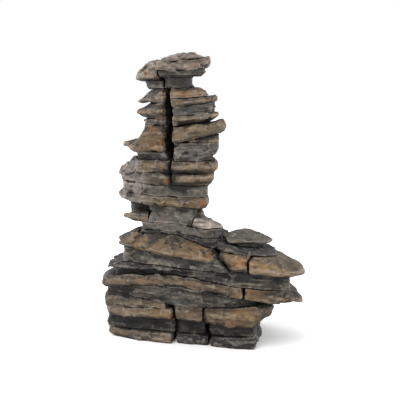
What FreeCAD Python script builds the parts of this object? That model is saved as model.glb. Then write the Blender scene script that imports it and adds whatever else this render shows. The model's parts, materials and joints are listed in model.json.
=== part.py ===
"""Stacked-slate cave ornament for an aquarium: separately cast resin slates, bonded on their beds.

Millimetres, +Z up. The broad face looks along -Y and the overhanging arm points along +X. Every slate lies
between two bed surfaces and has an outline in plan, drawn anticlockwise from its front left corner. The
origin is the middle of the whole stack's footprint box, at floor level.
"""

import os

import FreeCAD
import Part

# Stations along X where a bed's height is given. A bed is straight between them, and may bend at the fold.
LEFT_STATION, FOLD, RIGHT_STATION = -70.0, -12.0, 70.0
RIM = (0.35, 0.65)  # the share of a slate's thickness where its rim starts and stops being widest
BEVEL = 1.5  # how far a slate's two bed faces usually stand back from its rim

# The block's plan: where its front wall ends and the cave behind it begins, and the cave's flared walls.
CAVE_FRONT = -12.0
CAVE_LEFT_FRONT, CAVE_LEFT_BACK = -13.6, -33.0
CAVE_RIGHT_FRONT, CAVE_RIGHT_BACK = 12.0, 23.0
BACK = 34.0  # the block's plain back face

# Where cracks split the courses: two in the block's lower courses, one under the arm and two in the cliff.
CRACK_LEFT, CRACK_RIGHT, CRACK_ARM = -12.0, 9.5, 40.0
CRACK_WIDTH = 3.2  # the left lower crack's width
CRACK_CLOSED = -24.0  # how far back the lower cracks run before their two sides meet
CRACK_TIP = 44.3
CLIFF_LEFT_LIP, CLIFF_RIGHT_LIP = 19.9, 27.6  # the leaning crack's sides, part way up the cliff

# The tower's cleft: its two lips at the front, and the line behind on which its two sides meet.
CLEFT_LEFT, CLEFT_RIGHT = -22.5, -16.0
CLEFT_SHUT, CLEFT_SHUT_FROM = -20.3, 4.0
WAIST_SHUT, WAIST_SHUT_FROM = -17.6, -18.0
NECK_SHUT, CAP_SHUT, CAP_SHUT_FROM = -24.6, -28.3, -4.0

RECESS_LEFT = 28.5  # where the recess under the arm begins
SHELF_LEFT = 18.5  # where the shelf on the arm begins
CHIP_SEAM = -46.5  # where the chip on the tower's left meets the ochre stone

# Where the boulder on the tower's left meets the tower's courses.
BOULDER_SEAM = -41.0

# The passage through the tower's neck, between its front block and its rear wall.
PASSAGE_FRONT, PASSAGE_BACK = -9.0, 7.0


class Bed:
    """A bed surface: heights at the left station, the fold and the right station."""

    def __init__(self, left, fold, right):
        self.left, self.fold, self.right = left, fold, right

    def height(self, x):
        if x <= FOLD:
            return self.fold + (self.left - self.fold) * (FOLD - x) / (FOLD - LEFT_STATION)
        return self.fold + (self.right - self.fold) * (x - FOLD) / (RIGHT_STATION - FOLD)


# Beds of the block, from the floor up.
FLOOR = Bed(0.0, 0.0, 0.0)
FOOT_TOP = Bed(6.0, 6.5, 8.0)
LEDGE_LOW = Bed(14.0, 18.5, 14.0)
LEDGE_MIDDLE = Bed(22.0, 25.0, 25.0)
LEDGE_TOP = Bed(34.0, 27.0, 32.0)
ARM_LOW = Bed(37.5, 43.5, 33.0)
ARM_TOP = Bed(46.0, 51.0, 41.0)
BROW_LOW = Bed(53.5, 54.5, 50.5)
BROW_TOP = Bed(57.5, 57.0, 53.5)
CLIFF_LOW = Bed(71.5, 65.0, 64.5)
CLIFF_TOP = Bed(77.5, 80.5, 56.0)
ARM_CLIFF_LOW = Bed(60.5, 60.5, 53.7)
ARM_CLIFF_TOP = Bed(74.2, 74.2, 64.5)
SHELF_TOP = Bed(82.5, 82.5, 66.0)
ROCK_LOW = Bed(79.6, 79.6, 72.6)
ROCK_TOP = Bed(87.5, 87.5, 76.0)

# Beds of the tower, from the saddle up to the waist that both stacks share.
TOWER_LOW = Bed(81.5, 82.0, 71.0)
FLANGE_TOP = Bed(86.5, 88.0, 81.0)
STUB_TOP = Bed(90.5, 92.0, 92.0)
STUB_CAP_TOP = Bed(93.0, 96.5, 96.5)
SPLINTER_TOP = Bed(97.5, 97.5, 70.0)
NECK_TOP = Bed(102.5, 100.8, 98.5)
GIRDLE_TOP = Bed(109.5, 108.5, 107.0)
WAIST_LOW = Bed(118.5, 116.7, 114.5)
WAIST_TOP = Bed(126.5, 125.5, 124.5)
SHOULDER_TOP = Bed(136.5, 135.0, 133.0)

# Beds of the left stack.
THIN_TOP = Bed(140.5, 142.0, 142.0)
CHIP_TOP = Bed(149.0, 149.0, 149.0)
OCHRE_TOP = Bed(161.0, 160.0, 160.0)
NOTCH_TOP = Bed(164.5, 164.5, 164.5)
LEFT_LOWER_TOP = Bed(175.0, 177.5, 177.5)
LEFT_UPPER_TOP = Bed(185.5, 187.5, 187.5)
LEFT_NECK_TOP = Bed(191.5, 193.0, 193.0)
LEFT_CAP_TOP = Bed(201.0, 210.5, 210.5)

# Beds of the right stack, which rise to the right.
BLOCK_TOP = Bed(147.0, 148.6, 148.0)
SLAB_3_LOW = Bed(147.0, 148.6, 165.4)
SLAB_3_TOP = Bed(157.0, 159.5, 171.5)
SLAB_4_TOP = Bed(165.0, 167.2, 176.0)
SLAB_5_LOW = Bed(173.3, 174.6, 182.5)
SLAB_5_TOP = Bed(179.0, 180.0, 186.0)
SLAB_6_TOP = Bed(187.0, 187.2, 188.0)
RIGHT_NECK_TOP = Bed(195.5, 195.8, 196.0)
CAP_UNDER_TOP = Bed(198.0, 201.5, 206.0)
CAP_FRONT_TOP = Bed(204.0, 207.8, 212.0)
SUMMIT = Bed(210.0, 212.6, 212.6)


def with_fold(outline):
    """The outline, with a point added wherever an edge crosses the fold, and a flag for each such point."""
    points = []
    for (x, y), (next_x, next_y) in zip(outline, outline[1:] + outline[:1]):
        points.append((x, y, False))
        if (x - FOLD) * (next_x - FOLD) < 0:
            share = (FOLD - x) / (next_x - x)
            points.append((FOLD, y + share * (next_y - y), True))
    return points


def outward(points, i):
    """The unit direction that bisects the outline's corner i, pointing out of it."""
    (ax, ay, _), (bx, by, _) = points[i - 1], points[(i + 1) % len(points)]
    run = FreeCAD.Vector(bx - ax, by - ay, 0).normalize()
    return run.y, -run.x


def four_sides(bevel):
    """A bevel as (left, front, right, back), from one number or from those four."""
    return (bevel,) * 4 if isinstance(bevel, (int, float)) else bevel


def inset(points, bevel):
    """The outline drawn in from its sides. A point on the fold moves along Y only, and so stays on it."""
    left, front, right, back = four_sides(bevel)
    drawn = []
    for i, (x, y, on_fold) in enumerate(points):
        nx, ny = outward(points, i)
        across = 0.0 if on_fold else nx * (left if nx < 0 else right)
        drawn.append((x - across, y - ny * (front if ny < 0 else back)))
    return drawn


def bed_faces(ring, points):
    """The flat faces that close a ring: one, or one each side of the fold."""
    folds = [i for i, point in enumerate(points) if point[2]]
    if not folds:
        return [Part.Face(Part.makePolygon(ring + ring[:1]))]
    first, second = folds
    inner = ring[first:second + 1]
    outer = ring[second:] + ring[:first + 1]
    return [Part.Face(Part.makePolygon(part + part[:1])) for part in (inner, outer)]


def slate(low, high, outline, top=BEVEL, under=BEVEL, rim=RIM):
    """One slate between two beds. Its rim is the outline, and its bed faces stand back by top and under."""
    points = with_fold(outline)
    rings = [[FreeCAD.Vector(x, y, low.height(x)) for x, y in inset(points, under)]]
    for share in rim:
        rings.append([
            FreeCAD.Vector(x, y, low.height(x) + share * (high.height(x) - low.height(x)))
            for x, y, _ in points
        ])
    rings.append([FreeCAD.Vector(x, y, high.height(x)) for x, y in inset(points, top)])
    faces = bed_faces(rings[0], points) + bed_faces(rings[-1], points)
    for lower, upper in zip(rings, rings[1:]):
        for i in range(len(points)):
            a, b, c, d = lower[i - 1], lower[i], upper[i], upper[i - 1]
            faces.append(Part.Face(Part.makePolygon([a, b, c, a])))
            faces.append(Part.Face(Part.makePolygon([a, c, d, a])))
    solid = Part.Solid(Part.Shell(faces))
    if solid.Volume < 0:
        solid.reverse()
    return solid


def left_wall(corners):
    """An outline for the cave's left side: the given corners, then the cave's flared wall and the back."""
    wall = [(CAVE_LEFT_FRONT, CAVE_FRONT), (CAVE_LEFT_BACK, BACK)]
    front, rear = corners
    return front + wall + rear


def right_wall(corners):
    """An outline for the cave's right side: the given corners, then the back and the cave's flared wall."""
    wall = [(CAVE_RIGHT_BACK, BACK), (CAVE_RIGHT_FRONT, CAVE_FRONT), (CAVE_RIGHT_FRONT, CRACK_CLOSED + 6)]
    front, rear = corners
    return front + rear + wall


def middle_wall(front):
    """An outline for the cave's front wall: the given front corners, with sides that close the cracks."""
    right_side = [(CAVE_RIGHT_FRONT, CRACK_CLOSED + 6), (CAVE_RIGHT_FRONT, CAVE_FRONT)]
    left_side = [(CAVE_LEFT_FRONT, CAVE_FRONT), (CAVE_LEFT_FRONT, CRACK_CLOSED)]
    return front + right_side + left_side


def both_walls(front, right_rear, left_rear):
    """An outline that goes round the cave: the given corners, with the cave's flared walls between them."""
    right_side = [(CAVE_RIGHT_BACK, BACK), (CAVE_RIGHT_FRONT, CAVE_FRONT)]
    left_side = [(CAVE_LEFT_FRONT, CAVE_FRONT), (CAVE_LEFT_BACK, BACK)]
    return front + right_rear + right_side + left_side + left_rear


def block_courses():
    """The block's lower courses: left and right stacks flank the cave, and short slates wall its front."""
    left_lip, right_lip = CRACK_LEFT - CRACK_WIDTH / 2, CRACK_LEFT + CRACK_WIDTH / 2
    far_lip = CRACK_RIGHT + CRACK_WIDTH / 2
    return {
        "foot_left": slate(FLOOR, FOOT_TOP, left_wall((
            [(-66, -30), (-42, -37), (left_lip, -38)], [(-56, 36), (-72, 4)])), under=(7, 0.4, 0.6, 2),
            rim=(0.5, 0.85)),
        "foot_middle": slate(FLOOR, FOOT_TOP, middle_wall([(right_lip, -36), (far_lip + 2.6, -36)]),
            top=(0.3, 0.8, 0.3, 0.8), under=(0.3, 0.5, 0.3, 0.5)),
        "foot_right": slate(FLOOR, FOOT_TOP, right_wall((
            [(far_lip + 4.4, -37), (34, -39), (49, -37)], [(48, -8), (39, 29)])), under=(0.6, 0.4, 1, 2)),
        "band_left": slate(FOOT_TOP, LEDGE_LOW, left_wall((
            [(-69, -24), (-42, -29), (left_lip + 0.6, -30.5)], [(-57, BACK), (-77, 4)])),
            top=(3, 1, 0.6, 1), under=1, rim=(0.06, 0.4)),
        "band_middle": slate(FOOT_TOP, LEDGE_LOW, middle_wall([
            (right_lip + 1, -30), (far_lip - 1.2, -30.5)]),
            top=(0.3, 0.8, 0.3, 0.8), under=(0.3, 0.8, 0.3, 0.8)),
        "band_right": slate(FOOT_TOP, LEDGE_LOW, right_wall((
            [(far_lip + 2, -30.5), (32, -33), (47, -31)], [(46, -8), (38, 28)])), top=1, under=1),
        "ledge_left": slate(LEDGE_LOW, LEDGE_MIDDLE, left_wall((
            [(-68, -26), (-44, -34), (left_lip, -38)], [(-57, 36), (-77, 5)])), rim=(0.2, 0.75)),
        "upper_ledge_left": slate(LEDGE_MIDDLE, LEDGE_TOP, left_wall((
            [(-71, -25), (-48, -33), (-20, -33)], [(-58, 36), (-78, 4)])),
            top=(3, 4, 0.6, 2), rim=(0.2, 0.6)),
        "ledge_middle": slate(LEDGE_LOW, LEDGE_TOP, middle_wall([
            (right_lip - 0.6, -36.5), (CRACK_RIGHT - 0.8, -36.5)]),
            top=(0.3, 4, 0.3, 0.6), under=(0.3, 0.8, 0.3, 0.8), rim=(0.1, 0.45)),
        "ledge_right": slate(LEDGE_LOW, LEDGE_TOP, right_wall((
            [(CRACK_RIGHT + 0.6, -36.5), (30, -41), (51, -37)], [(58, -18), (48, 26)])),
            top=(0.6, 3, 3, 2), under=(0.6, 2, 9, 3), rim=(0.45, 0.8)),
        "grey_course": slate(LEDGE_TOP, ARM_LOW, both_walls(
            [(-66, -24), (-42, -31), (left_lip, -33), (CRACK_RIGHT, -33), (30, -34), (47, -30)],
            [(45, -8), (39, 27)], [(-55, BACK), (-72, 5)]), top=1, under=1),
    }


def roof_courses():
    """The courses that roof the cave, the arm that overhangs on the right, and the cliff on top of them."""
    arm_left, arm_right = CRACK_ARM - 0.8, CRACK_ARM + 0.8
    return {
        "arm_under": slate(ARM_LOW, ARM_TOP, [
            (-72, -27), (-50, -33), (-20, -35), (9, -35), (arm_left, -37), (arm_left, BACK), (-40, 38),
            (-63, 33), (-80, 0)],
            top=(5, 1.5, 0.5, 2), under=(4, 1.5, 0.5, 2), rim=(0.3, 0.7)),
        "arm_under_tip": slate(ARM_LOW, ARM_TOP, [
            (arm_right, -37.5), (60, -36), (74, -30), (81, -18), (68, 18), (arm_right, 31)],
            top=(0.6, 1.5, 9, 3), under=(0.6, 2, 5, 2), rim=(0.2, 0.5)),
        "shadow_course": slate(ARM_TOP, BROW_LOW, [
            (-62, -22), (-40, -27), (-10, -30), (RECESS_LEFT, -33), (RECESS_LEFT, 32), (-40, BACK),
            (-60, 31), (-70, 4)],
            top=(1, 1, 0.2, 1), under=(1, 1, 0.2, 1)),
        "brow_slab": slate(BROW_LOW, BROW_TOP, [
            (-68, -26), (-46, -33), (-18, -34), (RECESS_LEFT, -32), (RECESS_LEFT, 32), (-40, 36),
            (-60, 33), (-73, 4)],
            top=(12, 3, 0.4, 1), under=0.6, rim=(0.15, 0.35)),
        "undercliff": slate(BROW_TOP, CLIFF_LOW, [
            (-56, -21), (-32, -30), (-4, -33.5), (RECESS_LEFT, -35), (RECESS_LEFT, 32), (-40, BACK),
            (-56, 28), (-63, 1)],
            top=(1, 1, 8, 1), under=(1, 1, 0.2, 1), rim=(0.1, 0.15)),
        "arm_recess": slate(ARM_TOP, ARM_CLIFF_LOW, [
            (RECESS_LEFT, -35.5), (38, -35.5), (56, -33), (71, -22), (65, 12), (42, 30), (RECESS_LEFT, 33)],
            top=(0.2, 1, 2, 1), under=(0.2, 1, 0.5, 1), rim=(0.1, 0.6)),
        "cliff_slab_left": slate(CLIFF_LOW, CLIFF_TOP, [
            (-60, -23), (-42, -33), (-18, -39), (CLIFF_LEFT_LIP, -41), (CLIFF_LEFT_LIP, BACK),
            (-30, 37), (-56, 30), (-67, -3)],
            top=(12, 15, 4.5, 7), under=(6, 3, -1, 2), rim=(0.2, 0.24)),
        "cliff_slab_middle": slate(ARM_CLIFF_LOW, ARM_CLIFF_TOP, [
            (CLIFF_RIGHT_LIP, -40), (CRACK_TIP - 0.8, -41), (CRACK_TIP - 0.8, 33),
            (CLIFF_RIGHT_LIP, BACK)],
            top=(-6.8, 4, 0.5, 7), under=(4, 2, 0.5, 2), rim=(0.26, 0.3)),
        "cliff_slab_tip": slate(ARM_CLIFF_LOW, ARM_CLIFF_TOP, [
            (CRACK_TIP + 0.8, -42), (62, -39), (76, -29), (83, -18), (71, 11), (CRACK_TIP + 0.8, 30)],
            top=(0.5, 7, 20, 18), under=(0.5, 2, 5, 3), rim=(0.15, 0.4)),
        "saddle_slab": slate(CLIFF_TOP, TOWER_LOW, [
            (-44, -16), (-22, -25), (8, -29), (SHELF_LEFT, -29), (SHELF_LEFT, 18), (-30, 24), (-48, 6)],
            top=(1, 1, 0.2, 1), under=(0.6, 0.6, 0.2, 0.6)),
        "shelf_slab": slate(ARM_CLIFF_TOP, SHELF_TOP, [
            (SHELF_LEFT, -30), (28, -34), (40, -33), (53, -26), (61, -14), (57, 4), (44, 19),
            (SHELF_LEFT, 18)],
            top=(0.2, 1.5, 3, 1), under=(0.2, 0.6, 0.6, 0.6), rim=(0.2, 0.5)),
        "arm_rock_neck": slate(SHELF_TOP, ROCK_LOW, [
            (27.5, -24), (34, -25), (45, -16), (47.5, -2), (43, 10), (29, 11)],
            top=0.3, under=0.3, rim=(0.2, 0.6)),
        "arm_rock": slate(ROCK_LOW, ROCK_TOP, [
            (20, -13), (27, -31), (35, -29), (49, -19), (55.5, -6), (47, 10), (34, 15), (22, 6)],
            top=(6, 14, 3.5, 5), under=(2, 0.8, 4, 3), rim=(0.22, 0.4)),
    }


def tower_foot():
    """The tower up to where its two stacks part: flange, pierced neck, girdle, belt and shoulders."""
    shut = [(WAIST_SHUT, WAIST_SHUT_FROM), (WAIST_SHUT, 22)]
    return {
        "flange_slab": slate(TOWER_LOW, FLANGE_TOP, [
            (-42, -17), (-22, -25), (8, -27), (20.5, -20), (14, 0), (2, 20), (-28, 23), (-49, 6)]),
        "flange_splinter": slate(FLANGE_TOP, SPLINTER_TOP, [
            (-1, -26), (9, -28), (22.5, -20), (15, -9), (0, -10)], top=(0.4, 2, 1.5, 1), under=0.6,
            rim=(0.2, 0.5)),
        "stub_slab": slate(FLANGE_TOP, STUB_TOP, [
            (-56, -10), (-46, -15), (-37, -18), (-37, PASSAGE_BACK - 1), (-56, PASSAGE_BACK - 1),
            (-63, -1)],
            top=(2, 1, 0.5, 0.5), under=(7, 1, 0.5, 0.5), rim=(0.4, 0.7)),
        "stub_cap": slate(STUB_TOP, STUB_CAP_TOP, [
            (-56, -11), (-46, -14.5), (-37.5, -17), (-37.5, PASSAGE_FRONT), (-53, PASSAGE_FRONT)],
            top=(9, 1.5, 0.4, 0.4), under=0.6, rim=(0.1, 0.3)),
        "neck_front": slate(FLANGE_TOP, NECK_TOP, [
            (-36, -19), (-20, -23), (-2, -22.5), (-2, PASSAGE_FRONT), (-35, PASSAGE_FRONT)],
            top=0.6, under=0.6, rim=(0.3, 0.7)),
        "neck_rear": slate(FLANGE_TOP, NECK_TOP, [
            (-60, PASSAGE_BACK), (-2, PASSAGE_BACK), (-3, 13), (-11, 21), (-34, 22), (-56, 18)],
            top=(0.6, 0.3, -1.5, 1), under=(0.6, 0.3, -5, 1)),
        "girdle_slab": slate(NECK_TOP, GIRDLE_TOP, [
            (BOULDER_SEAM, -23), (-22, -26), (3, -26), (9, -19), (5, 2), (-7, 22), (BOULDER_SEAM, 23)],
            top=(0.5, 2, 1, 2), rim=(0.2, 0.7)),
        "nub_slab": slate(NECK_TOP, GIRDLE_TOP, [
            (-56, -14), (-49, -20), (BOULDER_SEAM, -23), (BOULDER_SEAM, 22), (-60, 22), (-71.5, 11),
            (-62.5, -3)],
            top=(4, 1, 0.5, 1), under=(3, 4, 0.5, 1), rim=(0.1, 0.4)),
        "boulder_lower": slate(GIRDLE_TOP, WAIST_LOW, [
            (-57, -16), (-51, -22), (BOULDER_SEAM, -24.5), (BOULDER_SEAM, 20), (-54, 18), (-61, 0)],
            top=0.4, under=(0.8, 0.8, 0.2, 0.8), rim=(0.3, 0.8)),
        "boulder_upper": slate(WAIST_LOW, SHOULDER_TOP, [
            (-58, -16), (-51, -21), (BOULDER_SEAM, -23), (BOULDER_SEAM, 19), (-54, 17), (-66.5, 0)],
            top=(13, 6, 0.2, 4), under=(3, 1, 0.2, 2), rim=(0.15, 0.3)),
        "grey_belt": slate(GIRDLE_TOP, WAIST_LOW, [
            (BOULDER_SEAM, -23), (-22, -25), (3, -24), (8, -16), (4, 3), (-8, 21), (BOULDER_SEAM, 22)],
            top=(0.2, 1, 1, 1), under=(0.2, 1, 1, 1)),
        "waist_left": slate(WAIST_LOW, WAIST_TOP, [
            (BOULDER_SEAM, -23), (-30, -26), (-18.2, -27)] + shut + [(BOULDER_SEAM, 20)],
            top=(0.2, 1, 0.5, 1), under=(0.2, 1.2, 0.5, 1)),
        "waist_right": slate(WAIST_LOW, WAIST_TOP, [
            (-16.6, -25), (-9, -27.5), (0, -27), (12.5, -15), (7.5, 8), (-6, 22)] + shut[::-1],
            top=(0.3, 2, 2, 2), under=(0.3, 5, 4, 3), rim=(0.45, 0.8)),
        "shoulder_left": slate(WAIST_TOP, SHOULDER_TOP, [
            (BOULDER_SEAM, -22), (-30, -25), (-19, -26)] + shut + [(BOULDER_SEAM, 19)],
            top=(0.2, 1.5, 0.5, 1.5), under=(0.2, 4, 0.5, 2), rim=(0.4, 0.75)),
        "shoulder_right": slate(WAIST_TOP, SHOULDER_TOP, [
            (-16.2, -27.5), (0, -26.5), (15.5, -13), (9.5, 10), (-6, 22)] + shut[::-1],
            top=(0.3, 1.5, 1.5, 1.5), under=(0.3, 4.5, 5, 2), rim=(0.42, 0.75)),
    }


def left_stack():
    """The slates left of the cleft, up to the left half of the cap."""

    def behind(front, rear):
        """An outline that ends on the cleft: front corners, the lip, the shut part and rear corners."""
        return front + [(CLEFT_SHUT, CLEFT_SHUT_FROM), (CLEFT_SHUT, 18)] + rear

    return {
        "thin_slab": slate(SHOULDER_TOP, THIN_TOP, behind(
            [(-45, -17), (-32, -22), (CLEFT_LEFT + 1.5, -23)], [(-43, 16), (-50, -1)]),
            top=(1, 1, 0.4, 1), under=(1, 1, 0.4, 1)),
        "ochre_chip": slate(THIN_TOP, CHIP_TOP, [
            (-55, -11), (CHIP_SEAM, -18), (CHIP_SEAM, 12), (-55, 7), (-61.5, -2)],
            top=(10, 2, 0.2, 3), under=(5, 1, 0.2, 2), rim=(0.25, 0.5)),
        "ochre_stone": slate(THIN_TOP, OCHRE_TOP, behind(
            [(CHIP_SEAM, -18.5), (-33, -24.5), (CLEFT_LEFT, -25.5)], [(-42, 17), (CHIP_SEAM, 12)]),
            top=(7, 2, 0.5, 2), under=(0.2, 2, 0.5, 2), rim=(0.1, 0.35)),
        "notch_stone": slate(OCHRE_TOP, NOTCH_TOP, behind(
            [(-40, -15), (-32, -21), (CLEFT_LEFT - 1, -22)], [(-38, 15), (-44, 0)]), top=0.6, under=0.6),
        "left_slab_lower": slate(NOTCH_TOP, LEFT_LOWER_TOP, behind(
            [(-43, -14), (-34, -22), (CLEFT_LEFT - 1.5, -25)], [(-40, 15), (-52, -2)]),
            top=(13, 3, 0.5, 3), under=(9, 3, 0.5, 2), rim=(0.36, 0.48)),
        "left_slab_upper": slate(LEFT_LOWER_TOP, LEFT_UPPER_TOP, behind(
            [(-42, -14), (-32, -23), (CLEFT_LEFT - 1, -26)], [(-38, 14), (-51, -3)]),
            top=(15, 4, 0.5, 3), under=(4, 2, 0.5, 1), rim=(0.12, 0.22)),
        "left_neck": slate(LEFT_UPPER_TOP, LEFT_NECK_TOP, [
            (-41, -7), (-33, -15), (-25.6, -16), (NECK_SHUT, CAP_SHUT_FROM), (NECK_SHUT, 12), (-36, 11),
            (-42, 1)],
            top=(0.5, 0.5, 0.2, 0.5), under=(0.5, 0.5, 0.2, 0.5)),
        "left_cap": slate(LEFT_NECK_TOP, LEFT_CAP_TOP, [
            (-46, -11), (-37, -18), (-29.3, -20), (CAP_SHUT, CAP_SHUT_FROM), (CAP_SHUT, 10), (-40, 10),
            (-50.5, -4)],
            top=(11, 5, 0.5, 4), under=(5, 3, 0.5, 3), rim=(0.14, 0.36)),
    }


def right_stack():
    """The slates right of the cleft, up to the summit."""

    def beside(front, rear, lip=CLEFT_RIGHT):
        """An outline that starts at the cleft's lip and comes back to it along the shut part."""
        return [(lip, front[0][1] - 0.5)] + front + rear + [(CLEFT_SHUT, 18), (CLEFT_SHUT, CLEFT_SHUT_FROM)]

    return {
        "block_right": slate(SHOULDER_TOP, BLOCK_TOP, beside(
            [(4, -25), (16, -12)], [(10, 10), (-5, 21)], lip=-14),
            top=(0.4, 1, 1, 1), under=(0.4, 1, 7, 2), rim=(0.55, 0.9)),
        "wedge_slab": slate(BLOCK_TOP, SLAB_3_LOW, [
            (-4, -24), (7, -23), (16, -10), (10, 8), (-4, 19)], top=1, under=1, rim=(0.3, 0.7)),
        "right_slab_3": slate(SLAB_3_LOW, SLAB_3_TOP, beside(
            [(4, -27), (17, -15), (19.5, -5)], [(10, 12), (-5, 22)]),
            top=(0.4, 1.5, 1.5, 1.5), under=(0.4, 1.5, 1.5, 1.5), rim=(0.3, 0.75)),
        "right_slab_4": slate(SLAB_3_TOP, SLAB_4_TOP, beside(
            [(4, -26), (13, -15), (15, -5)], [(8, 11), (-5, 21)]),
            top=(0.4, 1.5, 1.5, 1.5), under=(0.4, 8, 8, 2), rim=(0.62, 0.84)),
        "grey_block": slate(SLAB_4_TOP, SLAB_5_LOW, beside(
            [(2, -23), (11, -13)], [(8, 6), (-5, 18)]), top=(0.4, 1, 1, 1), under=(0.4, 1, 1, 1)),
        "right_slab_5": slate(SLAB_5_LOW, SLAB_5_TOP, beside(
            [(1, -26), (10, -15), (13.5, -6)], [(7, 9), (-6, 20)], lip=-17.5),
            top=(0.4, 1.5, 1.5, 1.5), under=(0.4, 1.5, 1.5, 1.5), rim=(0.3, 0.7)),
        "right_slab_6": slate(SLAB_5_TOP, SLAB_6_TOP, beside(
            [(0, -25), (7, -13)], [(4, 5), (-5, 17)], lip=-18), top=(0.5, 7, 6, 3), under=(0.5, 3, 2, 2),
            rim=(0.35, 0.6)),
        "right_neck": slate(SLAB_6_TOP, RIGHT_NECK_TOP, [
            (-24.3, -15.5), (-18, -16.5), (-8, -14), (-5.5, -7), (-8, 6), (-18, 12), (NECK_SHUT, 11),
            (NECK_SHUT, CAP_SHUT_FROM)],
            top=(0.2, 0.6, 0.6, 0.6), under=(0.2, 0.6, 0.6, 0.6)),
        "cap_under": slate(RIGHT_NECK_TOP, CAP_UNDER_TOP, [
            (-27.9, -20), (-17, -21.5), (-7, -20), (4, -12), (2, 3), (-9, 13), (CAP_SHUT, 11),
            (CAP_SHUT, CAP_SHUT_FROM)],
            top=(0.4, 1.5, 1.5, 1.5), under=(0.4, 1.5, 1.5, 1.5), rim=(0.3, 0.7)),
        "cap_front": slate(CAP_UNDER_TOP, CAP_FRONT_TOP, [
            (-28.2, -22.5), (-17, -24.5), (-6, -23), (5, -17), (9, -10), (4, 4), (-9, 14), (CAP_SHUT, 11),
            (CAP_SHUT, CAP_SHUT_FROM)],
            top=(0.4, 1.5, 1.5, 1.5), under=(0.4, 1.5, 1.5, 1.5), rim=(0.25, 0.75)),
        "cap_top": slate(CAP_FRONT_TOP, SUMMIT, [
            (-28, -11), (-18, -15), (-6, -13), (1, -4), (-3, 8), (-18, 12), (-28, 8)],
            top=(12, 6, 7, 5), under=1, rim=(0.15, 0.4)),
    }


def main():
    slates = {}
    for group in (block_courses, roof_courses, tower_foot, left_stack, right_stack):
        slates.update(group())
    box = Part.makeCompound(list(slates.values())).BoundBox
    to_origin = FreeCAD.Vector(-box.Center.x, -box.Center.y, -box.ZMin)
    os.makedirs("parts", exist_ok=True)
    for name, solid in slates.items():
        if not solid.isValid() or not solid.isClosed():
            raise ValueError(f"{name} is not a closed solid")
        solid.translate(to_origin)
        solid.exportStep(os.path.join("parts", name + ".step"))
    print(f"{len(slates)} slates, {box.XLength:.1f} x {box.YLength:.1f} x {box.ZLength:.1f} mm, "
          f"{sum(s.Volume for s in slates.values()) / 1000:.0f} ml, origin at {-to_origin}")


main()
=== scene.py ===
"""Looks for the stacked-slate cave ornament: chipped, layered slates of painted resin.

Each CAD slate is remeshed finely, faired into its neighbours, chipped, layered and gently bent. Its paint
is worked out at each vertex from how deep the point lies in the pile, with dark washes and painted shade in
hollows, under overhangs and on undersides, and one shader breaks it up. Lengths are in mm in the CAD frame,
except in the shader and the studio, which are in metres.
"""

import itertools
import json
import math

import bpy
import numpy as np
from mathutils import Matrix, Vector
from mathutils.bvhtree import BVHTree


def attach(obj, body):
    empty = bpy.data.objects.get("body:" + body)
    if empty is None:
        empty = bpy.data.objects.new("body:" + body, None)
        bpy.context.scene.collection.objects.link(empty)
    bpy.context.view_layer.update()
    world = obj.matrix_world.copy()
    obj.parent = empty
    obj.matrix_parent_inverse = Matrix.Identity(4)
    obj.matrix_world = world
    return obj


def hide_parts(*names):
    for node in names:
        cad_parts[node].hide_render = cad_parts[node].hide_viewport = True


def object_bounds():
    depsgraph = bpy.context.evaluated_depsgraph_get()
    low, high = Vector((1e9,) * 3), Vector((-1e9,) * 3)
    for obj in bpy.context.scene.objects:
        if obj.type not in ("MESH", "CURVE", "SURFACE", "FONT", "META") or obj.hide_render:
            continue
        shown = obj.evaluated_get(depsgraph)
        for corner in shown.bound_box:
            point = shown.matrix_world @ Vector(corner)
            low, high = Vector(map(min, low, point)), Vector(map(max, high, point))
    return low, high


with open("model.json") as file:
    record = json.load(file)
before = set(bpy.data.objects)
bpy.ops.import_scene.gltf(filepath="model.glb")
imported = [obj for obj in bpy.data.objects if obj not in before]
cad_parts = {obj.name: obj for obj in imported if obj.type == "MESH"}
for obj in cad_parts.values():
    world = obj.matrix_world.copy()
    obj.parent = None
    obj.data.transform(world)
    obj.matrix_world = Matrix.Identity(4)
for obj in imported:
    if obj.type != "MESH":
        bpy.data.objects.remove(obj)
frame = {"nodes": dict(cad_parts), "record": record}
BOUNDS_AT_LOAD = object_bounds()

MM = 0.001
GRAIN = 0.8  # the remeshed surface's face size
FLAT_ANGLE = math.radians(0.6)  # hidden beds flatter than this merge into large faces
UP = np.array([0, 0, 1])
TINY = 1e-6  # keeps a length that is divided by above zero
SQUASH = {  # noises are thinner across the beds than along them
    "relief": (1, 1, 1.9), "grain": (1, 1, 1.5), "patch": (1, 1, 1.7), "mottle": (1, 1, 1.5),
}


# ---------------------------------------------------------------- noise

SEED = {  # one for each noise, so that no two are alike
    "lumps": 11, "chip bend": 21, "chips": 31, "layer bend": 41, "layers": 51, "seams": 61, "grain": 71,
    "patch": 101, "mottle": 111, "hue": 121, "cool": 131, "streak": 141, "striations": 151, "splinter": 161,
    "blotch": 171, "rise": 301, "ripple": 302, "along": 303, "out": 304,
}
OCTAVE_SEEDS = 17  # the seeds of a noise's octaves are this far apart
LATTICE_SHIFT = 4096  # keeps lattice numbers above zero
CORNERS = list(itertools.product((0, 1), repeat=3))
CELLS_AROUND = list(itertools.product((-1, 0, 1), repeat=3))
HASH_X, HASH_Y, HASH_Z, HASH_SEED = 374761393, 668265263, 2246822519, 3266489917
LOW_BITS, KEPT_BITS = 0xFFFFFFFF, 0xFFFFFF
CHIP_CENTRES = (0.15, 0.7)  # a chip's centre lies this far into its cell, plus up to this much more
CHIP_HEIGHTS, CHIP_TILTS = 1.6, 1.4


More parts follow.
